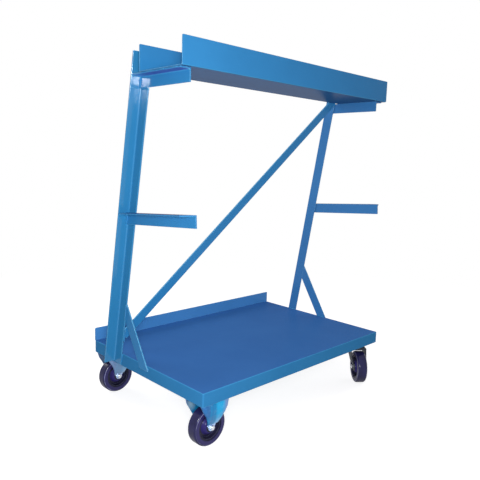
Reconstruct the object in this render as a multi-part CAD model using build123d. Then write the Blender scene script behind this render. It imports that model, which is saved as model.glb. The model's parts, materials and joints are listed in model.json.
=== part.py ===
"""Sheet goods cart: a folded steel deck on two rigid and two swivel casters, with two angle posts
that lean forward from the deck, arms on the posts, and a folded tray across the top arms.

Frame: millimetres, +Z up. The origin is on the floor under the centre of the deck. +X runs along
the deck, -Y is the front, to which the posts lean and the arms reach, and +Y is the back, where
sheets stand between the posts and the lip. The first and second wheels along X are named left
and right as seen from the front.
"""

from build123d import *
import os
from math import cos, radians, sin, tan

# ---- deck ----
deck_length = 1200.0
deck_width = 800.0
deck_height = 250.0  # floor to the load surface
deck_sheet = 3.0
skirt_depth = 56.0
deck_corner_radius = 6.0
deck_bend_radius = 4.0
lip_height = 60.0
lip_thickness = 4.0

# ---- folded channels under the deck ----
channel_width = 140.0
channel_sheet = 3.0
channel_end_gap = 1.0  # between each channel's ends and the deck's skirts
stiffener_width = 40.0
stiffener_depth = 30.0
stiffener_sheet = 2.5
stiffener_offset = 130.0  # each stiffener's distance from the deck's centre line

# ---- posts ----
post_leg = 55.0
post_thickness = 5.0
post_lean = 9.8  # degrees from upright, towards the front
post_length = 1343.0
post_heel_y = 221.0  # the heel's lower end
post_heel_z = 206.0
angle_root_radius = 6.0
angle_toe_radius = 3.0

# ---- arms ----
arm_leg = 50.0
arm_thickness = 5.0
top_arm_drop = 87.4  # from the posts' heads down to the top face of the flange
top_arm_length = 296.0  # from the posts' heads to the front end
mid_arm_height = 896.0  # top face of the flange above the deck's centre line
mid_arm_reach = 350.0
mid_arm_rise = 3.75  # degrees
mid_arm_mitre = 42.0  # cut off the flange's outer front corner, both ways

# ---- braces ----
foot_bar_width = 50.0
foot_bar_thickness = 5.0
foot_bar_angle = 32.0  # degrees from upright
foot_bar_gauge_z = 325.0  # level at which the front edges' places are given
left_foot_bar_front_y = 14.0
right_foot_bar_front_y = -12.8
foot_bar_overlap = 20.0  # how far the bar reaches down the skirt
diagonal_width = 44.0
diagonal_thickness = 5.0
diagonal_angle = 43.5  # degrees from level, within the posts' plane
diagonal_middle_height = 908.0  # the bar's centre line above the origin
diagonal_setback = 1.0  # behind the posts' front edges

# ---- tray ----
tray_length = 1326.0
tray_depth = 264.0
tray_height = 102.0
tray_sheet = 3.0
tray_bend_radius = 5.0
tray_corner_radius = 5.0
tray_seat_gap = 0.3  # between the tray's back wall and the posts' upper corners

# ---- casters ----
wheel_radius = 80.0
tyre_width = 48.0
tyre_shoulder = 9.0
rim_radius = 57.0
rim_width = 42.0
rim_wall = 7.0
web_thickness = 9.0
hub_radius = 22.0
hub_length = 50.0
bearing_outer_radius = 15.0
bearing_length = 44.0
sleeve_radius = 10.0
running_clearance = 0.05
axle_radius = 6.0
axle_hex = 18.0  # across flats
axle_head_height = 7.5
axle_nut_height = 8.0
axle_tail = 2.0
fork_sheet = 4.0
fork_gap = 52.0  # inside width at the axle
fork_eye_radius = 15.0
caster_plate_length = 140.0
caster_plate_width = 110.0
caster_plate_thickness = 4.0
rigid_inset_x = 75.0  # rigid caster's centre to the deck's end
rigid_inset_y = 62.0  # and to the deck's side
swivel_inset_x = 80.0  # swivel caster's kingpin to the deck's end
swivel_inset_y = 67.0
bracket_slices = [  # of a rigid bracket: depth below its plate's top, half length, half width, bend radius
    (0.0, 71.0, 58.0, 18.0), (9.0, 69.0, 61.0, 16.0), (30.0, 61.0, 62.0, 13.0), (50.0, 48.5, 60.0, 10.0),
    (70.0, 38.5, 53.5, 8.0), (87.0, 31.0, 45.5, 6.5), (98.0, 27.0, 39.0, 5.5)
]
leg_knee_rise = 11.0  # above the axle: from there down all casters' legs stand upright
caster_bolt_spacing_x = 105.0
caster_bolt_spacing_y = 75.0
caster_bolt_radius = 5.0
caster_bolt_hole_radius = 5.5
caster_bolt_hex = 16.0
caster_bolt_head = 6.4
caster_nut_height = 8.0
caster_bolt_tail = 3.0
swivel_trail = 55.0  # kingpin to axle, level
swivel_rest_angle = 50.0  # how far the parked swivel casters are turned out
crown_half_width = 41.0
crown_height = 172.0
fork_brow = 7.0  # the crown's upright edges above the slanting legs
fork_waist_rise = 25.0  # above the axle: a swivel fork draws in from there down
fork_waist_half_width = 38.0
race_radius = 41.0
race_wall = 6.0
race_gap = 0.3
ball_ring_radius = 30.0
ball_ring_section = 3.5
kingpin_radius = 7.0
kingpin_hex = 22.0
kingpin_nut_height = 11.0

# ---- derived places ----
half_length = deck_length / 2
half_width = deck_width / 2
deck_under = deck_height - deck_sheet
skirt_bottom = deck_height - skirt_depth
channel_bottom = skirt_bottom + 1.0
caster_plate_bottom = channel_bottom - caster_plate_thickness
arm_heel_x = half_length + post_thickness
lean = radians(post_lean)
post_top_y = post_heel_y - post_length * sin(lean)
post_top_z = post_heel_z + post_length * cos(lean)
top_arm_height = post_top_z - top_arm_drop
tray_back_y = post_top_y - post_leg * cos(lean) - tray_seat_gap
tray_front_y = tray_back_y - tray_depth

LEFT, RIGHT, FRONT, BACK = -1, 1, -1, 1
caster_x = {LEFT: rigid_inset_x - half_length, RIGHT: half_length - swivel_inset_x}
caster_y = {LEFT: half_width - rigid_inset_y, RIGHT: half_width - swivel_inset_y}


def angle_section(leg, thickness):
    """An equal angle's outline: heel at the origin, one leg along +X, the other along -Y."""
    outline = Polyline(
        (0, 0), (leg, 0), (leg, -thickness), (thickness, -thickness), (thickness, -leg), (0, -leg), close=True
    )
    face = make_face(outline)
    root = [v for v in face.vertices() if abs(v.X - thickness) < 0.01 and abs(v.Y + thickness) < 0.01]
    face = fillet(root, angle_root_radius)
    toes = [
        v
        for v in face.vertices()
        if (abs(v.X - leg) < 0.01 and abs(v.Y + thickness) < 0.01)
        or (abs(v.X - thickness) < 0.01 and abs(v.Y + leg) < 0.01)
    ]
    return fillet(toes, angle_toe_radius)


def mirrored_to(side, shape):
    """A shape made for the right-hand end, as it is or mirrored to the left-hand end."""
    return shape if side == RIGHT else mirror(shape, about=Plane.YZ)


def in_front_of_post_flange(shape):
    """Cuts a right-hand piece off at the front face of the post's outward leg."""
    behind = Pos(0, 500 - post_thickness, 0) * Box(400, 1000, 4000)
    return shape - Pos(half_length, post_heel_y, post_heel_z) * Rot(X=post_lean) * behind


# ---- frame pieces ----
def deck():
    """The load deck: one sheet with skirts folded down on all four sides and welded corners."""
    outer = Pos(0, 0, deck_height - skirt_depth / 2) * Box(deck_length, deck_width, skirt_depth)
    outer = fillet(outer.edges().filter_by(Axis.Z), deck_corner_radius)
    outer = fillet(outer.faces().sort_by(Axis.Z)[-1].edges(), deck_bend_radius)
    inner_height = skirt_depth - deck_sheet
    inner = Pos(0, 0, deck_under - inner_height / 2) * Box(
        deck_length - 2 * deck_sheet, deck_width - 2 * deck_sheet, inner_height
    )
    inner = fillet(inner.edges().filter_by(Axis.Z), deck_corner_radius - deck_sheet)
    return outer - inner


def back_lip():
    """The upright strip along the deck's back edge, with eased upper corners."""
    strip = Pos(0, half_width - lip_thickness / 2, deck_height + lip_height / 2) * Box(
        deck_length, lip_thickness, lip_height
    )
    corners = strip.edges().filter_by(Axis.Y).group_by(Axis.Z)[-1]
    return fillet(corners, 4.0)


def folded_channel(width, depth, length, sheet):
    """A U-shaped channel along X, open upwards, its web's underside at Z = 0."""
    outer = Rectangle(width, depth, align=(Align.CENTER, Align.MIN))
    outer = fillet([v for v in outer.vertices() if v.Y < 0.01], sheet * 2)
    hollow = Pos(0, sheet) * Rectangle(width - 2 * sheet, depth, align=(Align.CENTER, Align.MIN))
    hollow = fillet([v for v in hollow.vertices() if v.Y < sheet + 0.01], sheet)
    section = outer - hollow
    return Rot(Z=90) * Rot(X=90) * extrude(section, length / 2, both=True)


def caster_channel(side):
    """The cross channel under one end of the deck, which takes the two caster plates."""
    length = deck_width - 2 * (deck_sheet + channel_end_gap)
    channel = folded_channel(channel_width, deck_under - channel_bottom, length, channel_sheet)
    channel = Pos(caster_x[side], 0, channel_bottom) * Rot(Z=90) * channel
    for row in (FRONT, BACK):
        place = Pos(caster_x[side], row * caster_y[side], channel_bottom)
        channel -= place * bolt_group(caster_bolt_hole_radius, 20.0)
    return channel


def stiffener(row):
    """A long channel welded under the deck between the two cross channels."""
    length = caster_x[RIGHT] - caster_x[LEFT] - channel_width
    channel = folded_channel(stiffener_width, stiffener_depth, length, stiffener_sheet)
    middle = (caster_x[RIGHT] + caster_x[LEFT]) / 2
    return Pos(middle, row * stiffener_offset, deck_under - stiffener_depth) * channel


def post(side):
    """A leaning angle post: one leg against the deck's end skirt, the other outward at the back."""
    bar = extrude(angle_section(post_leg, post_thickness), post_length)
    bar = Pos(half_length, post_heel_y, post_heel_z) * Rot(X=post_lean) * bar
    return mirrored_to(side, bar)


def arm(reach, height, rise):
    """A right-hand angle arm: its web on the post's outer face, its flange on top, outward."""
    run = reach + post_heel_y
    section = angle_section(arm_leg, arm_thickness)
    bar = Rot(X=90) * extrude(section, run, both=True)
    front_cut = Pos(0, -reach - 500, 0) * Box(400, 1000, 400)
    bar = Pos(arm_heel_x, 0, height) * Rot(X=-rise) * (bar - front_cut)
    return in_front_of_post_flange(bar) - post(RIGHT)


def mid_arm(side):
    """A middle arm: as the top ones, with the outer corner of the flange's front end cut off."""
    corner = Polyline((0, 0), (-mid_arm_mitre, 0), (0, mid_arm_mitre), close=True)
    wedge = extrude(make_face(corner), 200, both=True)
    bar = arm(mid_arm_reach, mid_arm_height, mid_arm_rise)
    bar -= Pos(bar.bounding_box().max.X, bar.bounding_box().min.Y, mid_arm_height) * wedge
    return mirrored_to(side, bar)


def top_arm(side):
    return mirrored_to(side, arm(top_arm_length - post_top_y, top_arm_height, 0.0))


def foot_brace(side):
    """A flat bar from the post's front edge down to the skirt, in front of the post."""
    slope = tan(radians(foot_bar_angle))
    across = foot_bar_width / cos(radians(foot_bar_angle))
    low = deck_height - foot_bar_overlap
    high = post_top_z / 2

    gauge_y = left_foot_bar_front_y if side == LEFT else right_foot_bar_front_y

    def front(z):
        return gauge_y + (z - foot_bar_gauge_z) * slope

    outline = Polyline(
        (front(low), low), (front(high), high), (front(high) + across, high), (front(low) + across, low), close=True
    )
    bar = extrude(Plane.YZ * make_face(outline), foot_bar_thickness)
    behind_post_edge = Pos(0, 500 - post_leg, 0) * Box(400, 1000, 4000)
    bar = Pos(half_length, 0, 0) * bar
    bar -= Pos(half_length, post_heel_y, post_heel_z) * Rot(X=post_lean) * behind_post_edge
    return mirrored_to(side, bar)


def diagonal():
    """The flat bar from the foot of the left post to the head of the right one."""
    run = 2 * half_length / cos(radians(diagonal_angle))
    bar = Rot(Z=diagonal_angle) * Box(run, diagonal_width, diagonal_thickness)
    bar &= Box(deck_length, 3 * half_length, 2 * diagonal_thickness)
    # Stand the bar up in the posts' leaning plane, its centre line passing the stated height.
    rise = (diagonal_middle_height - post_heel_z) / cos(lean)
    depth = post_leg - diagonal_setback - diagonal_thickness / 2
    bar = Pos(0, -depth, rise) * Rot(X=90) * bar
    return Pos(0, post_heel_y, post_heel_z) * Rot(X=post_lean) * bar


def top_tray():
    """The folded tray: a level floor with a front and a back wall, open at both ends."""
    outer = Rectangle(tray_depth, tray_height, align=(Align.CENTER, Align.MIN))
    outer = fillet([v for v in outer.vertices() if v.Y < 0.01], tray_bend_radius)
    hollow = Pos(0, tray_sheet) * Rectangle(
        tray_depth - 2 * tray_sheet, tray_height, align=(Align.CENTER, Align.MIN)
    )
    hollow = fillet([v for v in hollow.vertices() if v.Y < tray_sheet + 0.01], tray_bend_radius - tray_sheet)
    tray = Rot(Z=90) * Rot(X=90) * extrude(outer - hollow, tray_length / 2, both=True)
    corners = tray.edges().filter_by(Axis.Y).group_by(Axis.Z)[-1]
    tray = fillet(corners, tray_corner_radius)
    return Pos(0, tray_front_y + tray_depth / 2, top_arm_height) * tray


# ---- fasteners ----
def hexagon(across_flats, height):
    return extrude(RegularPolygon(across_flats / 2, 6, major_radius=False), height)


def bolt_group(radius, length):
    """Four round bars at a caster plate's bolt holes, centred on Z = 0."""
    places = [
        Pos(x * caster_bolt_spacing_x / 2, y * caster_bolt_spacing_y / 2) for x in (-1, 1) for y in (-1, 1)
    ]
    return Compound(children=[place * Cylinder(radius, length) for place in places])


def at_caster_bolts(shape):
    """Copies of one fastener at the sixteen caster bolts."""
    return Compound(
        children=[
            Pos(
                caster_x[side] + x * caster_bolt_spacing_x / 2,
                row * caster_y[side] + y * caster_bolt_spacing_y / 2,
                0,
            )
            * shape
            for side in (LEFT, RIGHT)
            for row in (FRONT, BACK)
            for x in (-1, 1)
            for y in (-1, 1)
        ]
    )


def caster_bolts():
    grip = caster_plate_thickness + channel_sheet + caster_nut_height + caster_bolt_tail
    head = Pos(0, 0, caster_plate_bottom - caster_bolt_head) * hexagon(caster_bolt_hex, caster_bolt_head)
    shank = Pos(0, 0, caster_plate_bottom + grip / 2) * Cylinder(caster_bolt_radius, grip)
    return at_caster_bolts(head + shank)


def caster_nuts():
    nut = hexagon(caster_bolt_hex, caster_nut_height) - Pos(0, 0, caster_nut_height / 2) * Cylinder(
        caster_bolt_radius, caster_nut_height
    )
    return at_caster_bolts(Pos(0, 0, channel_bottom + channel_sheet) * nut)


# ---- casters, each made round its own centre line with the axle along Y ----
def mirrored_outline(points):
    """A face with a vertical middle line, from one side's points, given top to bottom."""
    return make_face(Polyline(points + [(-across, level) for across, level in reversed(points)], close=True))


def folded_legs(points, length):
    """Sheet legs along X, from their outer surface's (half width, level) points."""
    inner = [(across - fork_sheet, level) for across, level in points]
    return extrude(Plane.YZ * (mirrored_outline(points) - mirrored_outline(inner)), length, both=True)


def axle_eye(side_view, axle_x):
    """A leg's side outline with its round end about the axle, as a prism along Y."""
    outline = side_view + Pos(axle_x, wheel_radius) * Circle(fork_eye_radius)
    return extrude(Plane.XZ * outline, 200, both=True)


def axle_bore(axle_x):
    return Pos(axle_x, 0, wheel_radius) * Rot(X=90) * Cylinder(axle_radius, 4 * fork_gap)


def lower_legs(across, level):
    """The outer surface of two legs from a level down past the axle's eye."""
    outside, eye_bottom = fork_gap / 2 + fork_sheet, wheel_radius - fork_eye_radius
    return [(across, level), (outside, wheel_radius + leg_knee_rise), (outside, eye_bottom - 1)]


def bracket_body(offset):
    """The space inside a rigid bracket's surface moved in by the offset, with bent corners."""
    slices = [
        Pos(0, 0, channel_bottom - max(depth, offset))
        * RectangleRounded(2 * (length - offset), 2 * (width - offset), bend - offset)
        for depth, length, width, bend in bracket_slices
    ]
    return loft(slices, ruled=True)


def rigid_bracket():
    """A rigid caster's one-piece pressed bracket: its plate and two tapering legs with bent edges."""
    skin = bracket_body(0.0) - bracket_body(fork_sheet)
    # The side walls stay only where the legs' edges bend back.
    between = [
        (width - bend, channel_bottom - max(depth, fork_sheet)) for depth, _, width, bend in bracket_slices[:-1]
    ]
    end_depth, end_length, end_width, _ = bracket_slices[-1]
    end_level = channel_bottom - end_depth
    between += [(end_width - fork_sheet, end_level)]
    between += [(end_width - fork_sheet, end_level - 1)]
    skin -= extrude(Plane.YZ * mirrored_outline(between), 200, both=True)
    # Below the last level each leg is a flat strip that ends round the axle.
    side_view = mirrored_outline([(end_length, end_level), (fork_eye_radius, wheel_radius)])
    legs = folded_legs(lower_legs(end_width, end_level), end_length) & axle_eye(side_view, 0.0)
    bracket = skin + legs - axle_bore(0.0)
    return bracket - Pos(0, 0, channel_bottom) * bolt_group(caster_bolt_hole_radius, 20.0)


def swivel_plate():
    """A swivel caster's top plate with its pressed bearing cup."""
    plate = Pos(0, 0, caster_plate_bottom + caster_plate_thickness / 2) * Box(
        caster_plate_length, caster_plate_width, caster_plate_thickness
    )
    plate = fillet(plate.edges().filter_by(Axis.Z), 8.0)
    cup_depth = caster_plate_bottom - crown_height - race_gap
    cup = Pos(0, 0, caster_plate_bottom - cup_depth / 2) * Cylinder(race_radius, cup_depth)
    track_depth = 2 * ball_ring_section
    track = Cylinder(race_radius - race_wall, track_depth) - Cylinder(kingpin_radius + 8, track_depth)
    plate = plate + cup - Pos(0, 0, crown_height + race_gap + track_depth / 2) * track
    plate -= Pos(0, 0, channel_bottom) * bolt_group(caster_bolt_hole_radius, 20.0)
    return plate - Pos(0, 0, channel_bottom) * Cylinder(kingpin_radius, 80)


def kingpin():
    """The bolt that carries the fork, its head above the plate's underside and its nut below the crown."""
    top = channel_bottom
    nut_top = crown_height - fork_sheet - race_gap
    bottom = nut_top - kingpin_nut_height
    shank = Pos(0, 0, (top + bottom) / 2) * Cylinder(kingpin_radius, top - bottom)
    nut = Pos(0, 0, bottom) * hexagon(kingpin_hex, kingpin_nut_height)
    return shank + nut


def ball_ring():
    """The bearing ring that runs between the plate's cup and the fork's crown."""
    section = Pos(ball_ring_radius, 0) * Rectangle(2 * ball_ring_section, 2 * ball_ring_section)
    ring = revolve(Plane.XZ * fillet(section.vertices(), ball_ring_section * 0.5), Axis.Z)
    return Pos(0, 0, crown_height + ball_ring_section) * ring


def swivel_fork():
    """The pressed fork: a flat crown and two legs that close in towards the trailing axle."""
    half, brow = crown_half_width, crown_height - fork_brow
    legs = [(half, crown_height), (half, brow)]
    legs += lower_legs(fork_waist_half_width, wheel_radius + fork_waist_rise)
    shell = folded_legs(legs, swivel_trail + fork_eye_radius)
    crown = Pos(0, 0, crown_height - fork_sheet / 2) * Box(2 * half, 2 * half - 2 * fork_sheet, fork_sheet)
    corners = shell.edges().filter_by(Axis.X).group_by(Axis.Z)[-1]
    shell = fillet([edge for edge in corners if abs(edge.center().Y) > half - 0.1], fork_sheet - 0.5)
    waist = fork_eye_radius * 0.92
    rear, low = -swivel_trail - waist, wheel_radius + 8
    side_view = make_face(
        Polyline((-half, crown_height), (-half, brow - 3), (rear, low), (rear + 2 * waist, low), (half, brow - 3),
                 (half, crown_height), close=True)
    )
    fork = (shell + crown) & axle_eye(side_view, -swivel_trail)
    return fork - axle_bore(-swivel_trail) - Pos(0, 0, crown_height) * Cylinder(kingpin_radius + running_clearance, 40)


def axle_bolt():
    """An axle bolt along Y: its head at the back leg, its thread end past the nut at the front."""
    leg = fork_gap / 2 + fork_sheet
    tail = leg + axle_nut_height + axle_tail
    shank = Pos(0, (leg - tail) / 2, 0) * Rot(X=90) * Cylinder(axle_radius, leg + tail)
    head = Pos(0, leg + axle_head_height, 0) * Rot(X=90) * hexagon(axle_hex, axle_head_height)
    return shank + head


def axle_nut():
    nut = hexagon(axle_hex, axle_nut_height) - Pos(0, 0, axle_nut_height / 2) * Cylinder(axle_radius, axle_nut_height)
    return Pos(0, -fork_gap / 2 - fork_sheet, 0) * Rot(X=90) * nut


def axle_sleeve():
    tube = Cylinder(sleeve_radius, fork_gap) - Cylinder(axle_radius, fork_gap)
    return Rot(X=90) * tube


def revolved_about_y(profile):
    """Turns a face drawn as (radius, distance along the axle) about the axle."""
    return revolve(Plane.XY * profile, Axis.Y)


def wheel_bearing():
    """The roller cage, a plain ring between the hub and the sleeve."""
    inner = sleeve_radius + running_clearance
    ring = Cylinder(bearing_outer_radius, bearing_length) - Cylinder(inner, bearing_length)
    return Rot(X=90) * ring


def wheel_core():
    """Hub, dished web and rim in one moulding."""
    half_hub, half_rim, half_web = hub_length / 2, rim_width / 2, web_thickness / 2
    inside_rim = rim_radius - rim_wall
    outline = Polyline(
        (bearing_outer_radius, -half_hub), (hub_radius, -half_hub), (hub_radius + 4, -half_web - 6),
        (inside_rim - 4, -half_web - 2), (inside_rim, -half_rim), (rim_radius, -half_rim),
        (rim_radius, half_rim), (inside_rim, half_rim), (inside_rim - 4, half_web + 2),
        (hub_radius + 4, half_web + 6), (hub_radius, half_hub), (bearing_outer_radius, half_hub),
        close=True,
    )
    return revolved_about_y(make_face(outline))


def tyre():
    """The tyre: a flat tread with round shoulders on the rim."""
    depth = wheel_radius - rim_radius
    section = Pos(rim_radius + depth / 2, 0) * Rectangle(depth, tyre_width)
    shoulders = [v for v in section.vertices() if v.X > wheel_radius - 0.01]
    return revolved_about_y(fillet(shoulders, tyre_shoulder))


# ---- assembly ----
def write_parts():
    parts = {
        "deck": deck(),
        "back_lip": back_lip(),
        "left_caster_channel": caster_channel(LEFT),
        "right_caster_channel": caster_channel(RIGHT),
        "front_deck_stiffener": stiffener(FRONT),
        "back_deck_stiffener": stiffener(BACK),
        "left_post": post(LEFT),
        "right_post": post(RIGHT),
        "left_mid_arm": mid_arm(LEFT),
        "right_mid_arm": mid_arm(RIGHT),
        "left_top_arm": top_arm(LEFT),
        "right_top_arm": top_arm(RIGHT),
        "left_foot_brace": foot_brace(LEFT),
        "right_foot_brace": foot_brace(RIGHT),
        "diagonal_brace": diagonal(),
        "top_tray": top_tray(),
        "caster_bolts": caster_bolts(),
        "caster_nuts": caster_nuts(),
    }
    wheel_pieces = {
        "axle_bolt": axle_bolt(),
        "axle_nut": axle_nut(),
        "axle_sleeve": axle_sleeve(),
        "wheel_bearing": wheel_bearing(),
        "wheel_core": wheel_core(),
        "tyre": tyre(),
    }
    for row, row_name in ((FRONT, "front"), (BACK, "back")):
        rigid = Pos(caster_x[LEFT], row * caster_y[LEFT], 0)
        parts[f"{row_name}_left_bracket"] = rigid * rigid_bracket()
        for name, piece in wheel_pieces.items():
            parts[f"{row_name}_left_{name}"] = rigid * Pos(0, 0, wheel_radius) * piece
        swivel = Pos(caster_x[RIGHT], row * caster_y[RIGHT], 0)
        turned = swivel * Rot(Z=-row * swivel_rest_angle)
        parts[f"{row_name}_right_swivel_plate"] = swivel * swivel_plate()
        parts[f"{row_name}_right_kingpin"] = swivel * kingpin()
        parts[f"{row_name}_right_ball_ring"] = swivel * ball_ring()
        parts[f"{row_name}_right_fork"] = turned * swivel_fork()
        for name, piece in wheel_pieces.items():
            # The front caster's axle is put in from the other side, as a mirror of the back one's.
            place = turned * Pos(-swivel_trail, 0, wheel_radius) * Rot(Z=90 - row * 90)
            parts[f"{row_name}_right_{name}"] = place * piece
    for name, shape in parts.items():
        export_step(shape, f"parts/{name}.step")


os.makedirs("parts", exist_ok=True)
write_parts()
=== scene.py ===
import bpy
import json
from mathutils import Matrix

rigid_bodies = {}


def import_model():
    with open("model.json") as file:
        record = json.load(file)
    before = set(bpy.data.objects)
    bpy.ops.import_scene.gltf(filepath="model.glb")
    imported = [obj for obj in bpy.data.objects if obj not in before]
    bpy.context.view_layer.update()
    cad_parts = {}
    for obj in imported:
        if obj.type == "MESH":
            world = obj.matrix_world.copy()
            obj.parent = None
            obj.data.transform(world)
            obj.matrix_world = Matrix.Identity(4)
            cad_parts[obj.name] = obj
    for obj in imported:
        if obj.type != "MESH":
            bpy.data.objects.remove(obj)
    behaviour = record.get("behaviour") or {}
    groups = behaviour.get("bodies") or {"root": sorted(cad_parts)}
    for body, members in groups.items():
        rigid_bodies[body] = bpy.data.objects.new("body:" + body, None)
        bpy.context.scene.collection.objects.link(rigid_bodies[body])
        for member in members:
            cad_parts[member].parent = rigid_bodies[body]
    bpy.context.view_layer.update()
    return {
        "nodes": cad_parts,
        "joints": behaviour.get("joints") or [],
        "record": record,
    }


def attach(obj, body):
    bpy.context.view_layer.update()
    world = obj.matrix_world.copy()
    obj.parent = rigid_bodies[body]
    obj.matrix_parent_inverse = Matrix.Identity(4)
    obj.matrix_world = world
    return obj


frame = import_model()

import json
import math

import bmesh
import bpy
from mathutils import Matrix, Vector

LEFT_CASTER_X, HALF_PLATE = 0.525, 0.07  # left casters' distance from the middle, half a caster plate's length
PAINTED_REFLECTION_PATCH = (-0.56, -0.3, 0.162)  # a pale painted reflection on the front left bracket's far leg
TYRE_SIDE_BAND, TYRE_SHOULDER_HIGHLIGHT = (0.06, 0.071), (0.0735, 0.0748)  # radii of a purple band on a tyre's side, and of a painted highlight where side meets tread

# ---------------------------------------------------------------- node helpers


class Shader:
    """A material or world node tree, with short calls to add nodes."""

    def __init__(self, owner):
        owner.use_nodes = True
        self.tree = owner.node_tree
        self.tree.nodes.clear()

    def add(self, kind, links=None, **settings):
        node = self.tree.nodes.new(kind)
        for key, value in settings.items():
            setattr(node, key, value)
        for socket, value in (links or {}).items():
            self.put(node, socket, value)
        return node

    def put(self, node, socket, value):
        target = node.inputs[socket]
        if isinstance(value, bpy.types.NodeSocket):
            self.tree.links.new(value, target)
        else:
            target.default_value = value

    def math(self, operation, a, b=0.0, clamp=False):
        return self.add("ShaderNodeMath", {0: a, 1: b}, operation=operation, use_clamp=clamp).outputs[0]

    def noise(self, where, scale, detail=3.0, roughness=0.5):
        return self.add(
            "ShaderNodeTexNoise",
            {"Vector": where, "Scale": scale, "Detail": detail, "Roughness": roughness},
        ).outputs["Fac"]

    def spread(self, value, low, high, to_low=0.0, to_high=1.0):
        return self.add(
            "ShaderNodeMapRange",
            {"Value": value, "From Min": low, "From Max": high, "To Min": to_low, "To Max": to_high},
        ).outputs["Result"]

    def mix(self, factor, a, b):
        node = self.add("ShaderNodeMix", data_type="RGBA")
        for socket, value in ((0, factor), (6, a), (7, b)):
            self.put(node, socket, value)
        return node.outputs[2]

    def cloud(self, where, scale, detail=3.0, roughness=0.5, low=0.3, high=0.7, least=0.0, most=1.0):
        """Noise that runs from least, where it is under low, to most, where it is over high."""
        return self.spread(self.noise(where, scale, detail, roughness), low, high, least, most)

    def stretched(self, where, scale):
        return self.add("ShaderNodeMapping", {"Vector": where, "Scale": scale}).outputs[0]

    def place(self):
        return self.add("ShaderNodeTexCoord").outputs["Object"]

    def facing_up(self):
        """1 on faces that look up, -1 on faces that look down."""
        normal = self.add("ShaderNodeNewGeometry").outputs["Normal"]
        return self.add("ShaderNodeSeparateXYZ", {0: normal}).outputs["Z"]

    def seen(self):
        """1 for rays from the camera, straight or by way of gloss or glass, and 0 for those that light things."""
        path = self.add("ShaderNodeLightPath")
        through = self.math("MAXIMUM", path.outputs["Is Camera Ray"], path.outputs["Is Transmission Ray"])
        return self.math("MAXIMUM", through, path.outputs["Is Glossy Ray"])

    def edge_mask(self, radius):
        """1 along convex and concave edges, 0 on flats, and the rounded normal that made it."""
        rounded = self.add("ShaderNodeBevel", {"Radius": radius}, samples=6).outputs[0]
        flat = self.add("ShaderNodeNewGeometry").outputs["Normal"]
        dot = self.add("ShaderNodeVectorMath", {0: rounded, 1: flat}, operation="DOT_PRODUCT").outputs["Value"]
        return self.spread(dot, 0.995, 0.86), rounded

    def fold_lines(self):
        """1 where the surface turns over a fold between level and upright, 0 on both flats."""
        up = self.math("ABSOLUTE", self.facing_up())
        level = self.math("SQRT", self.math("SUBTRACT", 1.0, self.math("MULTIPLY", up, up), clamp=True))
        return self.spread(self.math("MINIMUM", up, level), 0.35, 0.6)

    def from_axis(self, centre, axis):
        """The distance of each point from the line through centre along axis."""
        arm = self.add("ShaderNodeVectorMath", {0: self.place(), 1: centre}, operation="SUBTRACT").outputs[0]
        across = self.add("ShaderNodeVectorMath", {0: arm, 1: axis}, operation="CROSS_PRODUCT").outputs[0]
        return self.add("ShaderNodeVectorMath", {0: across}, operation="LENGTH").outputs["Value"]

    def band(self, value, low, high, soft):
        """1 between low and high, falling off to 0 over soft on both sides."""
        rise = self.spread(value, low - soft, low)
        return self.math("MULTIPLY", rise, self.spread(value, high, high + soft, 1.0, 0.0))

    def bump(self, height, normal, strength, distance):
        links = {"Height": height, "Normal": normal, "Strength": strength, "Distance": distance}
        return self.add("ShaderNodeBump", links).outputs[0]

    def finish(self, **sockets):
        names = {
            "base": "Base Color", "rough": "Roughness", "metal": "Metallic", "normal": "Normal",
            "coat": "Coat Weight", "coat_rough": "Coat Roughness", "specular": "Specular IOR Level",
        }
        body = self.add("ShaderNodeBsdfPrincipled", {names[k]: v for k, v in sockets.items()})
        self.add("ShaderNodeOutputMaterial", {"Surface": body.outputs[0]})


def linear(red, green, blue):
    """A colour given in 0-255 screen values, as a linear colour for a socket."""
    def one(v):
        v /= 255
        return v / 12.92 if v <= 0.04045 else ((v + 0.055) / 1.055) ** 2.4
    return one(red), one(green), one(blue), 1.0


def tones(*colours):
    return tuple(linear(*colour) for colour in colours)


def begin(name, edge_radius):
    """A new material with its shader, the place on the object, the edge mask and the normal rounded over the edges."""
    m = bpy.data.materials.new(name)
    s = Shader(m)
    return (m, s, s.place(), *s.edge_mask(edge_radius))


# ------------------------------------------------------------------ materials


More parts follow.
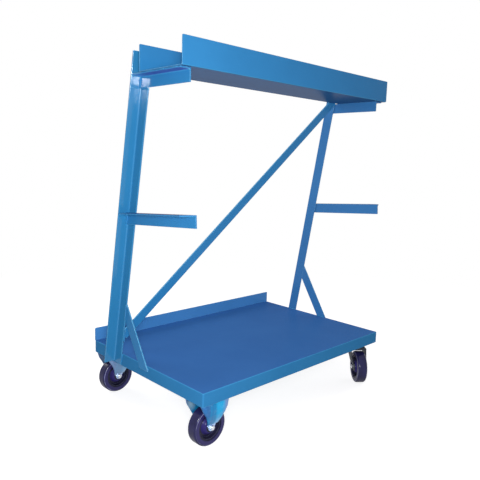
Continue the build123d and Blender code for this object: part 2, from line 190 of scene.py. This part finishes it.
def blue_paint(
    name, body_tones, coat=0.22, coat_rough=0.2, wave=0.12, glare=None, top_tones=None, under_tones=None, edge_gain=0.6
):
    """Enamel over sheet steel: two close tones in clouds, scuffs and specks, a painted highlight on folds, paler edges
    that are partly wear and partly painted highlight, and top_tones and under_tones that paint light and shade on
    faces looking up and down.

    glare is (axis, low, high): the clear coat grows to full weight between those two places on the axis.
    """
    m, s, where, edge, rounded = begin(name, 0.0026)
    clouds = s.cloud(where, 2.6, detail=4.0, roughness=0.55)
    body = s.mix(clouds, *body_tones)
    facing_up = s.facing_up()
    # Painted light and shade: faces that look up or down take their own tones for how the light falls on them.
    if top_tones:
        body = s.mix(s.spread(facing_up, 0.6, 0.9), body, s.mix(clouds, *top_tones))
    if under_tones:
        body = s.mix(s.spread(facing_up, -0.6, -0.9), body, s.mix(clouds, *under_tones))
    scuff = s.cloud(where, 38.0, detail=6.0, roughness=0.7, low=0.62, high=0.8, most=0.3)
    body = s.mix(scuff, body, linear(62, 132, 188))
    speck = s.cloud(where, 420.0, detail=2.0, low=0.74, high=0.8, most=0.4)
    body = s.mix(speck, body, linear(40, 104, 158))
    # Painted highlight: paler paint along the folds, where the rounded bends catch the light.
    body = s.mix(s.math("MULTIPLY", s.fold_lines(), 0.6), body, linear(58, 146, 188))
    # Paler edges in patches: partly edge wear and partly a painted highlight of light on the rounded edges.
    patchy = s.cloud(where, 55.0, low=0.35, high=0.6, least=0.45)
    edge_wear_and_highlight = s.math("MULTIPLY", edge, s.math("MULTIPLY", patchy, edge_gain))
    body = s.mix(edge_wear_and_highlight, body, linear(150, 208, 236))
    rough = s.cloud(where, 9.0, detail=5.0, roughness=0.6, high=0.75, least=0.42, most=0.6)
    orange_peel = s.math("MULTIPLY", s.noise(where, 330.0, 2.0, 0.4), 0.12)
    height = s.math("ADD", orange_peel, s.noise(where, 7.0, 2.0, 0.4))
    normal = s.bump(height, rounded, strength=wave, distance=0.002)
    if glare:
        axis, low, high = glare
        level = s.add("ShaderNodeSeparateXYZ", {0: where}).outputs[axis]
        coat = s.spread(level, low, high, coat, 1.0)
    s.finish(base=body, rough=rough, normal=normal, specular=0.0, coat=coat, coat_rough=coat_rough)
    return m


def zinc(name, dull, clear, bright, pale, metal, specular):
    """Plated sheet steel, with painted reflections. Its colour runs in upright bands, placed round the left casters.
    """
    m, s, where, edge, rounded = begin(name, 0.0014)
    apart = s.add("ShaderNodeSeparateXYZ", {0: where}).outputs

    # Along X: 0 at a left caster's middle, 1 at its plate's inner end, with a drift that makes the bands uneven.
    along = s.math("DIVIDE", s.math("ADD", apart["X"], LEFT_CASTER_X), HALF_PLATE)
    drift = s.cloud(s.stretched(where, (1.0, 1.0, 0.1)), 30.0, 2.0, 0.4, least=-0.12, most=0.12)
    along = s.math("ADD", along, drift)
    first_band = s.mix(s.band(along, -0.5, -0.36, 0.08), dull, clear)
    body = s.mix(s.spread(along, -0.34, -0.2), first_band, clear)
    body = s.mix(s.spread(along, -0.06, 0.08), body, bright)
    body = s.mix(s.spread(along, 0.42, 0.54), body, s.mix(0.3, dull, pale))

    # Painted reflections: paler towards the axle and on one patch of the front left bracket, and greyer on the back
    # casters.
    low = s.math("MULTIPLY", s.spread(apart["Z"], 0.135, 0.1), s.spread(along, -0.05, 0.2))
    body = s.mix(s.math("MULTIPLY", low, 0.5), body, pale)
    body = s.mix(s.spread(apart["Z"], 0.101, 0.09, 0.0, 0.85), body, pale)
    from_patch = s.add("ShaderNodeVectorMath", {0: where, 1: PAINTED_REFLECTION_PATCH}, operation="DISTANCE").outputs["Value"]
    body = s.mix(s.spread(from_patch, 0.036, 0.012, 0.0, 0.95), body, linear(178, 214, 232))
    greyer = s.mix(0.4, pale, (0.1, 0.11, 0.12, 1.0))
    body = s.mix(s.spread(apart["Y"], -0.1, 0.1, 0.0, 0.45), body, greyer)

    stain = s.cloud(where, 46.0, detail=5.0, roughness=0.65, low=0.55, high=0.75, most=0.16)
    body = s.mix(stain, body, pale)
    # Painted highlight: paler along the edges.
    body = s.mix(s.math("MULTIPLY", edge, 0.5), body, pale)
    rough = s.cloud(where, 60.0, detail=4.0, least=0.3, most=0.42)
    rolled = s.noise(s.stretched(where, (1.0, 1.0, 14.0)), 160.0)
    normal = s.bump(rolled, rounded, strength=0.05, distance=0.0006)
    s.finish(base=body, rough=rough, normal=normal, metal=metal, specular=specular)
    return m


def bolt_steel():
    m, s, where, edge, rounded = begin("plated_bolt_steel", 0.0009)
    body = s.mix(s.cloud(where, 240.0, detail=4.0), *tones((214, 216, 220), (188, 192, 200)))
    body = s.mix(s.math("MULTIPLY", edge, 0.7), body, linear(244, 245, 247))
    rough = s.cloud(where, 300.0, least=0.12, most=0.26)
    normal = s.bump(s.noise(where, 900.0, 2.0), rounded, strength=0.15, distance=0.0003)
    s.finish(base=body, rough=rough, normal=normal, metal=1.0)
    return m


def bearing_steel():
    m, s, where, edge, rounded = begin("ground_bearing_steel", 0.0006)
    oil = s.cloud(where, 90.0, detail=5.0, roughness=0.7, low=0.45, most=0.6)
    body = s.mix(oil, *tones((190, 191, 193), (126, 122, 116)))
    body = s.mix(edge, body, linear(214, 215, 217))
    rough = s.cloud(where, 130.0, least=0.2, most=0.42)
    normal = s.bump(s.noise(where, 1300.0, 2.0), rounded, strength=0.2, distance=0.0002)
    s.finish(base=body, rough=rough, normal=normal, metal=1.0)
    return m


def wheel_plastic(name, body_tones, coat):
    """Moulded plastic with a fine grain and some dust."""
    m, s, where, edge, rounded = begin(name, 0.0016)
    body = s.mix(s.cloud(where, 30.0, detail=4.0), *body_tones)
    dust = s.cloud(where, 110.0, detail=5.0, roughness=0.7, low=0.6, high=0.78, most=0.16)
    body = s.mix(dust, body, linear(112, 116, 128))
    body = s.mix(s.math("MULTIPLY", edge, 0.5), body, linear(104, 112, 146))
    rough = s.cloud(where, 70.0, detail=4.0, least=0.4, most=0.6)
    normal = s.bump(s.noise(where, 1100.0, 2.0, 0.6), rounded, strength=0.22, distance=0.0003)
    s.finish(base=body, rough=rough, normal=normal, specular=0.0, coat=coat, coat_rough=0.28)
    return m


def tyre_rubber(name, centre, axis):
    """Dark rubber with a purple band on its sides and a painted highlight, in patches, on the ring where side meets
    tread.
    """
    m, s, where, edge, rounded = begin(name, 0.0012)
    body = s.mix(s.cloud(where, 24.0, detail=4.0), *tones((24, 23, 58), (33, 32, 76)))
    radius = s.from_axis(centre, axis)
    body = s.mix(s.band(radius, *TYRE_SIDE_BAND, 0.002), body, linear(42, 38, 86))
    dust = s.cloud(where, 75.0, detail=6.0, roughness=0.75, low=0.6, high=0.8, most=0.18)
    body = s.mix(dust, body, linear(104, 106, 112))
    # Painted highlight: a pale ring where side meets tread, broken into patches.
    highlight_patches = s.cloud(where, 26.0, low=0.4, high=0.58, least=0.1, most=0.8)
    shoulder_highlight = s.math("MULTIPLY", s.band(radius, *TYRE_SHOULDER_HIGHLIGHT, 0.0008), highlight_patches)
    body = s.mix(shoulder_highlight, body, linear(150, 152, 196))
    body = s.mix(s.math("MULTIPLY", edge, 0.3), body, linear(90, 92, 116))
    rough = s.cloud(where, 50.0, detail=5.0, least=0.42, most=0.64)
    normal = s.bump(s.noise(where, 750.0, 3.0, 0.7), rounded, strength=0.25, distance=0.0004)
    s.finish(base=body, rough=rough, normal=normal, specular=0.0, coat=0.45, coat_rough=0.2)
    return m


WHEELS = [joint for joint in frame["joints"] if joint["name"].endswith("_wheel_spin")]
BLUE = tones((42, 114, 166), (47, 121, 174))
# Painted shade: darker, more purple tones for the right post and arms, which get less light.
PAINTED_SHADE_BLUE = tones((50, 105, 158), (55, 112, 166))
# Painted reflection: paler, purple tones on the arms' undersides for light bounced up onto them.
ARM_UNDERSIDE_PAINTED_LIGHT = tones((76, 112, 190), (80, 118, 196))
FINISHES = {
    "blue_paint": blue_paint("blue_enamel", BLUE),
    "thin_bar_paint": blue_paint("thin_bar_blue_enamel", BLUE, edge_gain=1.0),
    # Painted shade on the left mid arm's top faces and painted reflection on its underside.
    "mid_arm_paint": blue_paint(
        "mid_arm_enamel_painted_light", BLUE, coat=0.16, top_tones=tones((44, 84, 152), (49, 90, 160)), under_tones=ARM_UNDERSIDE_PAINTED_LIGHT,
        edge_gain=0.3,
    ),
    # Painted shade on the right arms and foot brace, with a painted reflection on their undersides.
    "far_arm_paint": blue_paint("far_arm_enamel_painted_shade", PAINTED_SHADE_BLUE, under_tones=ARM_UNDERSIDE_PAINTED_LIGHT, edge_gain=0.4),
    # Painted reflection on the left top arm's underside.
    "top_arm_paint": blue_paint(
        "top_arm_enamel_painted_reflection", BLUE, coat=0.05, coat_rough=0.11, glare=("Y", -0.075, -0.045), under_tones=ARM_UNDERSIDE_PAINTED_LIGHT,
    ),
    # Painted light: lighter tones on the back lip for light it does not get.
    "lip_paint": blue_paint("lip_enamel_painted_light", tones((62, 122, 180), (68, 129, 188))),
    # Painted light: the deck's top faces take their own, more purple tones for how the light falls on them.
    "deck_paint": blue_paint(
        "deck_enamel_painted_light", tones((42, 110, 159), (47, 117, 166)), coat=0.1, coat_rough=0.42,
        top_tones=tones((50, 101, 163), (55, 107, 169)),
    ),
    "post_paint": blue_paint(
        "glossier_blue_enamel", tones((42, 114, 160), (47, 121, 168)), coat=0.5, coat_rough=0.11, wave=0.04,
        glare=("Z", 1.22, 1.33), edge_gain=0.9,
    ),
    # Painted shade on the right post.
    "far_post_paint": blue_paint("far_post_enamel_painted_shade", PAINTED_SHADE_BLUE, wave=0.04),
    # Painted reflection and shade: greyer, darker tones on the tray's underside.
    "tray_paint": blue_paint(
        "tray_enamel_painted_underside", BLUE, coat=0.18, under_tones=tones((48, 94, 142), (53, 100, 149)),
    ),
    # Painted reflections: the zinc's bands are tinted blue and pale for the deck and floor that it mirrors.
    "zinc": zinc(
        "zinc_painted_reflections", *tones((36, 98, 156), (12, 118, 170), (20, 152, 204), (170, 190, 224)),
        metal=0.4, specular=0.35,
    ),
    # Painted shade: a dark copy of the zinc for the right casters, which sit in shade under the deck.
    "shaded_zinc": zinc(
        "dark_zinc", *tones((30, 32, 40), (33, 35, 44), (40, 43, 52), (88, 91, 100)), metal=0.0, specular=0.05,
    ),
    "bolt_steel": bolt_steel(),
    "bearing_steel": bearing_steel(),
    "wheel_body": wheel_plastic("dark_moulded_wheel", tones((22, 22, 38), (30, 29, 50)), coat=0.35),
    "hub_plastic": wheel_plastic("purple_moulded_hub", tones((40, 36, 88), (47, 42, 100)), coat=0.12),
}
for joint in WHEELS:
    tyre_name = joint["child"].replace("_wheel", "_tyre")
    FINISHES[tyre_name] = tyre_rubber("dark_" + tyre_name, joint["pos_m"], joint["axis"])
SLOT_OF = {part["node"]: part["material_slot"] for part in frame["record"]["subparts"]}
# Parts of the right casters that take the painted-shade copy of the zinc.
SHADED = ("right_fork", "right_swivel_plate", "right_ball_ring", "right_kingpin")
SPECIAL = {
    "left_post": "post_paint", "right_post": "far_post_paint",
    "deck": "deck_paint", "back_lip": "lip_paint", "top_tray": "tray_paint",
    "left_foot_brace": "thin_bar_paint", "diagonal_brace": "thin_bar_paint",
    "left_top_arm": "top_arm_paint", "left_mid_arm": "mid_arm_paint",
    "right_top_arm": "far_arm_paint", "right_mid_arm": "far_arm_paint", "right_foot_brace": "far_arm_paint",
}


def finish_of(node_name):
    if node_name.endswith(SHADED):
        return "shaded_zinc"
    if node_name in FINISHES:
        return node_name
    return SPECIAL.get(node_name, SLOT_OF[node_name])


def dress(obj, finish):
    obj.data.materials.clear()
    obj.data.materials.append(FINISHES[finish])


for node_name, node_object in frame["nodes"].items():
    dress(node_object, finish_of(node_name))

# --------------------------------------------------------------------- pieces


def new_piece(name, mesh_maker, body, finish):
    bm = bmesh.new()
    mesh_maker(bm)
    bmesh.ops.recalc_face_normals(bm, faces=bm.faces)
    mesh = bpy.data.meshes.new(name)
    bm.to_mesh(mesh)
    bm.free()
    for face in mesh.polygons:
        face.use_smooth = True
    obj = bpy.data.objects.new(name, mesh)
    bpy.context.scene.collection.objects.link(obj)
    dress(obj, finish)
    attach(obj, body)


def skin(bm, rings, closed=False):
    """Joins rings of points one to the next, and the last to the first or else with a cap at both ends."""
    rings = [[bm.verts.new(point) for point in ring] for ring in rings]
    followers = rings[1:] + rings[:1] if closed else rings[1:]
    for ring, following in zip(rings, followers):
        for k in range(len(ring)):
            n = (k + 1) % len(ring)
            bm.faces.new((ring[k], ring[n], following[n], following[k]))
    if not closed:
        bm.faces.new(rings[0])
        bm.faces.new(list(reversed(rings[-1])))


def lathe(bm, profile, centre, axis, steps=64):
    """Turns a closed profile of (radius, distance along axis) points round the axis through centre."""
    axis = Vector(axis).normalized()
    side = axis.orthogonal().normalized()
    other = axis.cross(side)
    rings = []
    for i in range(steps):
        turn = 2 * math.pi * i / steps
        spoke = side * math.cos(turn) + other * math.sin(turn)
        rings.append([Vector(centre) + spoke * r + axis * h for r, h in profile])
    skin(bm, rings, closed=True)


BEAD_STEP, RIPPLE_PITCH, TAPER_LENGTH = 0.0022, 0.0066, 0.012
WANDER_RATE = 865.0  # radians per metre of bead
ARC_POINTS = 6


def weld_bead(bm, start, end, face_one, face_two, size=0.006):
    """A rippled fillet bead from start to end in the corner whose two faces run along face_one and face_two."""
    start, end = Vector(start), Vector(end)
    one, two = Vector(face_one).normalized() * size, Vector(face_two).normalized() * size
    length = (end - start).length
    steps = max(4, int(length / BEAD_STEP))
    rings = []
    for i in range(steps + 1):
        t = i / steps
        ripple = 0.13 * math.cos(2 * math.pi * t * length / RIPPLE_PITCH)
        wander = 0.05 * math.sin(WANDER_RATE * t * length)
        taper = min(1.0, 4.0 * min(t, 1 - t) * length / TAPER_LENGTH + 0.25)
        swell = (1.0 + ripple + wander) * taper
        base = start.lerp(end, t)
        ring = [base - (one + two) * 0.12]
        for k in range(ARC_POINTS):
            a = math.pi / 2 * k / (ARC_POINTS - 1)
            bulge = 0.86 + 0.1 * math.sin(2 * a)
            ring.append(base + (one * math.cos(a) + two * math.sin(a)) * swell * bulge)
        rings.append(ring)
    skin(bm, rings)


def bump_bead(bm, start, end, across, out, size=0.0035):
    """A low half-round bead on a flat joint: two fillets back to back."""
    for way in (1, -1):
        weld_bead(bm, start, end, Vector(across) * way, out, size)


# Sizes of the CAD's frame that the beads follow, in metres and radians.
HEEL_Y, HEEL_Z, LEAN = 0.221, 0.206, math.radians(9.8)  # the posts' lower heel and their lean
END_X, STEEL = 0.6, 0.005  # the deck's ends, the sections' thickness
LEG, ARM = 0.055, 0.05  # legs of the posts' and the arms' angle
DECK_EDGE_Z, SKIRT_TOP_Z = 0.2465, 0.247  # where beads reach the bend of the deck's edge
TOP_ARM_Z, MID_ARM_Z, MID_ARM_RISE = 1.442, 0.8897, math.radians(3.75)
BRACE_SLOPE, BRACE_WIDTH, BRACE_FOOT_Z = math.radians(32.0), 0.05, 0.23
BRACE_GAUGE_Z, BRACE_GAUGE_Y = 0.325, {-1: 0.014, 1: -0.0128}  # each foot brace's front edge, at one level
DIAGONAL_TILT, DIAGONAL_MIDDLE_Z, DIAGONAL_BEAD_HALF = math.radians(43.5), 0.908, 0.02
STITCH_STARTS, STITCH_LENGTH = (-0.1, -0.18, -0.26), 0.03
INSET, SMALL_INSET = 0.002, 0.001  # beads' ends, short of the corners
UP_POST = Vector((0.0, -math.sin(LEAN), math.cos(LEAN)))
FORWARD = Vector((0.0, -math.cos(LEAN), -math.sin(LEAN)))
DOWN = Vector((0.0, 0.0, -1.0))


def in_post(x, depth, along):
    """A point of the posts' leaning frame: depth in front of the heel's face, along the post's length."""
    return Vector((x, HEEL_Y, HEEL_Z)) + FORWARD * depth + UP_POST * along


def at_post(x, depth, z):
    """The point of the posts' leaning frame that is at height z."""
    return in_post(x, depth, (z - HEEL_Z + depth * math.sin(LEAN)) / math.cos(LEAN))


def arm_welds(bm, side, top, rise):
    """Beads round an arm's back end, which butts on the post's outward leg and lies on its end leg."""
    out = Vector((side, 0.0, 0.0))
    ahead = Vector((0.0, -math.cos(rise), math.sin(rise)))
    under, low = top - STEEL, top - ARM
    inner, web, tip = side * (END_X + STEEL), side * (END_X + 2 * STEEL), side * (END_X + LEG)
    weld_bead(bm, at_post(web, STEEL, low + INSET), at_post(web, STEEL, under), out, FORWARD)
    flange = [at_post(x, STEEL, under) for x in (web + side * INSET, tip - side * SMALL_INSET)]
    weld_bead(bm, *flange, -UP_POST, ahead, size=0.005)
    lift = Vector((0.0, 0.0, math.sin(rise) * (LEG - STEEL)))
    toe = at_post(inner, LEG - SMALL_INSET, low) + lift
    weld_bead(bm, at_post(inner, STEEL + INSET, low), toe, out, -UP_POST, size=0.004)


def top_arm_seam(bm, side):
    """The low bead across the post's outward leg, level with the top arm's lower edge."""
    web, tip = side * (END_X + 2 * STEEL), side * (END_X + LEG)
    seam = [at_post(x, STEEL, TOP_ARM_Z - ARM) for x in (web + side * SMALL_INSET, tip - side * 3 * SMALL_INSET)]
    bump_bead(bm, *seam, UP_POST, FORWARD, size=0.003)


def tray_stitches(bm, side):
    """Short beads that hold the tray on the tip of the top arm's flange."""
    out = Vector((side, 0.0, 0.0))
    for start in STITCH_STARTS:
        stitch = [Vector((side * (END_X + LEG), y, TOP_ARM_Z)) for y in (start, start - STITCH_LENGTH)]
        weld_bead(bm, *stitch, out, DOWN, size=0.004)


def post_foot_welds(bm, side):
    """The end leg's beads on the deck's skirt and over the deck's edge."""
    out = Vector((side, 0.0, 0.0))
    end = side * END_X
    for depth, away in ((LEG, FORWARD), (0.0, -FORWARD)):
        weld_bead(bm, at_post(end, depth, HEEL_Z + INSET), at_post(end, depth, SKIRT_TOP_Z), away, out)
    over_edge = [at_post(end, depth, DECK_EDGE_Z) for depth in (2 * INSET, LEG - 2 * INSET)]
    weld_bead(bm, *over_edge, -out, UP_POST, size=0.007)


def brace_welds(bm, side):
    """The foot brace's beads: round its lower end on the skirt and along its butt joint with the post."""
    out = Vector((side, 0.0, 0.0))
    slope = math.tan(BRACE_SLOPE)
    across = BRACE_WIDTH / math.cos(BRACE_SLOPE)
    slant = Vector((0.0, slope, 1.0)).normalized()
    square = Vector((0.0, -slant.z, slant.y))
    front_y = BRACE_GAUGE_Y[side] - BRACE_GAUGE_Z * slope
    foot, above_foot = BRACE_FOOT_Z, BRACE_FOOT_Z + SMALL_INSET / 2

    def edge(z, back=0.0):
        return Vector((side * END_X, front_y + z * slope + back, z))

    weld_bead(bm, edge(foot, INSET), edge(foot, across - INSET), DOWN, out)
    weld_bead(bm, edge(above_foot), edge(DECK_EDGE_Z), square, out, size=0.005)
    weld_bead(bm, edge(above_foot, across), edge(DECK_EDGE_Z, across), -square, out, size=0.005)
    over_edge = [edge(DECK_EDGE_Z, back) for back in (3 * SMALL_INSET, across - 3 * SMALL_INSET)]
    weld_bead(bm, *over_edge, -out, slant, size=0.007)
    toe_slope = math.tan(LEAN)
    toe_y = HEEL_Y + HEEL_Z * toe_slope - LEG / math.cos(LEAN)
    seam = [(toe_y - front_y - back) / (slope + toe_slope) for back in (across, 0.0)]
    low, high = (at_post(side * (END_X + STEEL), LEG, z) for z in seam)
    bump_bead(bm, low.lerp(high, 0.05), low.lerp(high, 0.95), FORWARD, out)


def diagonal_welds(bm, side):
    """The diagonal's end against the post's inner face, a bead on each of its flats."""
    middle = (DIAGONAL_MIDDLE_Z - HEEL_Z) / math.cos(LEAN) + side * END_X * math.tan(DIAGONAL_TILT)
    half = DIAGONAL_BEAD_HALF / math.cos(DIAGONAL_TILT)
    inward = Vector((-side, 0.0, 0.0))
    face = LEG - SMALL_INSET
    for depth, away in ((face, FORWARD), (face - STEEL, -FORWARD)):
        ends = (in_post(side * END_X, depth, middle + way * half) for way in (-1, 1))
        weld_bead(bm, *ends, inward, away)


def frame_welds(side):
    def make(bm):
        arm_welds(bm, side, TOP_ARM_Z, 0.0)
        top_arm_seam(bm, side)
        arm_welds(bm, side, MID_ARM_Z, MID_ARM_RISE)
        post_foot_welds(bm, side)
        brace_welds(bm, side)
        diagonal_welds(bm, side)
        tray_stitches(bm, side)
    return make


# A closed outline of (radius, distance from the wheel's middle), then two of (distance from the kingpin, height).
HUB_FLARE = (
    (0.0215, 0.0242), (0.0235, 0.0245), (0.0262, 0.0232), (0.031, 0.0172), (0.0355, 0.0098), (0.0395, 0.0062),
    (0.043, 0.0046), (0.043, 0.0040), (0.0215, 0.0040),
)
CROWN_DOME = (
    (0.0078, 0.1685), (0.038, 0.1685), (0.0375, 0.1655), (0.034, 0.163), (0.028, 0.1623), (0.0078, 0.1623),
)
CROWN_LIP = (
    (0.0405, 0.1685), (0.041, 0.167), (0.041, 0.1622), (0.0402, 0.1612), (0.0388, 0.1612), (0.038, 0.1622),
    (0.038, 0.1655), (0.0368, 0.167), (0.035, 0.1685),
)
LIP_HALF_WIDTH, LIP_SAG = 0.0368, 0.0006  # the lip's middle hangs lower than its ends
LIP_HALF_STEPS = 6


def hub_flare(centre, axis):
    """Two coned flares that widen from the hub's ends down to the wheel's web."""
    def make(bm):
        for way in (1, -1):
            lathe(bm, [(r, way * h) for r, h in HUB_FLARE], centre, axis)
    return make


def crown_dome(pin):
    """The dome pressed down into a swivel fork's crown round its kingpin."""
    return lambda bm: lathe(bm, CROWN_DOME, (pin[0], pin[1], 0.0), (0.0, 0.0, 1.0))


def crown_lip(pin, wheel):
    """The crown's trailing edge, rolled down between the legs just clear of the tyre."""
    trail = Vector((wheel[0] - pin[0], wheel[1] - pin[1], 0.0)).normalized()
    width = trail.cross(Vector((0.0, 0.0, 1.0)))

    def make(bm):
        rows = []
        for step in range(-LIP_HALF_STEPS, LIP_HALF_STEPS + 1):
            t = step / LIP_HALF_STEPS
            across, lift = LIP_HALF_WIDTH * t, LIP_SAG * t ** 2
            rows.append([Vector((pin[0], pin[1], z + lift)) + trail * d + width * across for d, z in CROWN_LIP])
        skin(bm, rows)
    return make


new_piece("left_frame_welds", frame_welds(-1), "frame", "blue_paint")
new_piece("right_frame_welds", frame_welds(1), "frame", "blue_paint")
for joint in WHEELS:
    wheel_body = joint["child"]
    flare = hub_flare(joint["pos_m"], joint["axis"])
    new_piece(wheel_body + "_hub_flare", flare, wheel_body, "hub_plastic")
for joint in frame["joints"]:
    if joint["name"].endswith("_swivel_turn"):
        fork = joint["child"]
        wheel = next(w for w in WHEELS if w["parent"] == fork)
        new_piece(fork + "_crown_dome", crown_dome(joint["pos_m"]), fork, "shaded_zinc")
        new_piece(fork + "_crown_lip", crown_lip(joint["pos_m"], wheel["pos_m"]), fork, "shaded_zinc")

# ------------------------------------------------------------- camera, studio

# The camera fitted to the photograph, in metres and radians. The focal length is in pixels of its width.
CAMERA_PLACE = Vector((-1.85761990, -1.85809367, 1.11290647))
CAMERA_YAW, CAMERA_PITCH, CAMERA_ROLL = 0.774457094, 0.142381025, 0.0300464177
FOCAL_PIXELS, PICTURE = 540.552901, 480
SENSOR = 36.0
FLOOR_REACH = 30.0
FADE_START, FADE_END = 1.1, 3.2  # distances from the origin between which the floor's shadow fades out
GROUND_TONE, SHADOW_TONE, FLOOR_GLOW = 0.42, 0.44, 0.76  # the floor as it lights things, and as it is seen
WORLD_TINT, WORLD_STRENGTH = (1.0, 0.86, 0.98, 1.0), 0.28


def aim_camera():
    cy, sy = math.cos(CAMERA_YAW), math.sin(CAMERA_YAW)
    cp, sp = math.cos(CAMERA_PITCH), math.sin(CAMERA_PITCH)
    forward = Vector((sy * cp, cy * cp, -sp))
    level = Vector((cy, -sy, 0.0))
    upright = level.cross(forward)
    cr, sr = math.cos(CAMERA_ROLL), math.sin(CAMERA_ROLL)
    right = cr * level + sr * upright
    up = -sr * level + cr * upright
    turn = Matrix((right, up, -forward)).transposed().to_4x4()
    data = bpy.data.cameras.new("camera")
    data.sensor_fit = "HORIZONTAL"
    data.sensor_width = SENSOR
    data.lens = FOCAL_PIXELS / PICTURE * SENSOR
    data.clip_end = 100.0
    camera = bpy.data.objects.new("camera", data)
    camera.matrix_world = Matrix.Translation(CAMERA_PLACE) @ turn
    bpy.context.scene.collection.objects.link(camera)
    bpy.context.scene.camera = camera


def softbox(name, place, target, size, power, colour=(1.0, 1.0, 1.0)):
    data = bpy.data.lights.new(name, "AREA")
    data.shape = "RECTANGLE"
    data.size, data.size_y = size
    data.energy = power
    data.color = colour
    lamp = bpy.data.objects.new(name, data)
    look = Vector(target) - Vector(place)
    lamp.matrix_world = Matrix.Translation(place) @ look.to_track_quat("-Z", "Y").to_matrix().to_4x4()
    bpy.context.scene.collection.objects.link(lamp)


def grey(value):
    return value, value, value, 1.0


def white_world():
    """White where it is seen, and a soft light of its own elsewhere."""
    world = bpy.data.worlds.new("studio")
    bpy.context.scene.world = world
    s = Shader(world)
    soft = s.add("ShaderNodeBackground", {"Color": WORLD_TINT, "Strength": WORLD_STRENGTH})
    white = s.add("ShaderNodeBackground", {"Color": grey(1.0), "Strength": 1.0})
    mixed = s.add("ShaderNodeMixShader", {0: s.seen(), 1: soft.outputs[0], 2: white.outputs[0]})
    s.add("ShaderNodeOutputWorld", {"Surface": mixed.outputs[0]})


def pale_floor():
    """A wide pale floor that shows white to the camera and keeps a soft shadow."""
    mesh = bpy.data.meshes.new("floor")
    bm = bmesh.new()
    corners = ((-1, -1), (1, -1), (1, 1), (-1, 1))
    bm.faces.new([bm.verts.new((x * FLOOR_REACH, y * FLOOR_REACH, 0.0)) for x, y in corners])
    bm.to_mesh(mesh)
    bm.free()
    floor = bpy.data.objects.new("floor", mesh)
    bpy.context.scene.collection.objects.link(floor)
    m = bpy.data.materials.new("pale_floor")
    s = Shader(m)
    ground = s.add("ShaderNodeBsdfDiffuse", {"Color": grey(GROUND_TONE)})
    distance = s.add("ShaderNodeVectorMath", {0: s.place()}, operation="LENGTH").outputs["Value"]
    far = s.spread(distance, FADE_START, FADE_END)
    shadowed = s.add("ShaderNodeBsdfDiffuse", {"Color": s.mix(far, grey(SHADOW_TONE), grey(0.0))})
    glow = s.spread(far, 0.0, 1.0, FLOOR_GLOW, 1.0)
    white = s.add("ShaderNodeEmission", {"Color": grey(1.0), "Strength": glow})
    pale = s.add("ShaderNodeAddShader", {0: shadowed.outputs[0], 1: white.outputs[0]})
    mixed = s.add("ShaderNodeMixShader", {0: s.seen(), 1: ground.outputs[0], 2: pale.outputs[0]})
    s.add("ShaderNodeOutputMaterial", {"Surface": mixed.outputs[0]})
    mesh.materials.append(m)


aim_camera()
white_world()
pale_floor()
softbox("key", (-1.9, -1.95, 1.2), (0.0, -0.1, 0.75), size=(0.55, 0.55), power=43.0, colour=(0.96, 1.0, 1.0))
softbox("flash", (-1.9, -1.92, 1.14), (0.0, -0.1, 0.75), size=(0.08, 0.08), power=32.0)
softbox("fill", (3.1, -0.6, 1.3), (0.0, 0.0, 0.7), size=(1.8, 1.8), power=24.0)
softbox("back", (-0.7, 3.1, 1.5), (0.0, 0.1, 0.8), size=(1.8, 1.8), power=62.0)
softbox("above", (0.0, 0.1, 3.3), (0.0, 0.0, 1.4), size=(1.4, 1.0), power=14.0)

bpy.context.scene.view_settings.view_transform = "Standard"
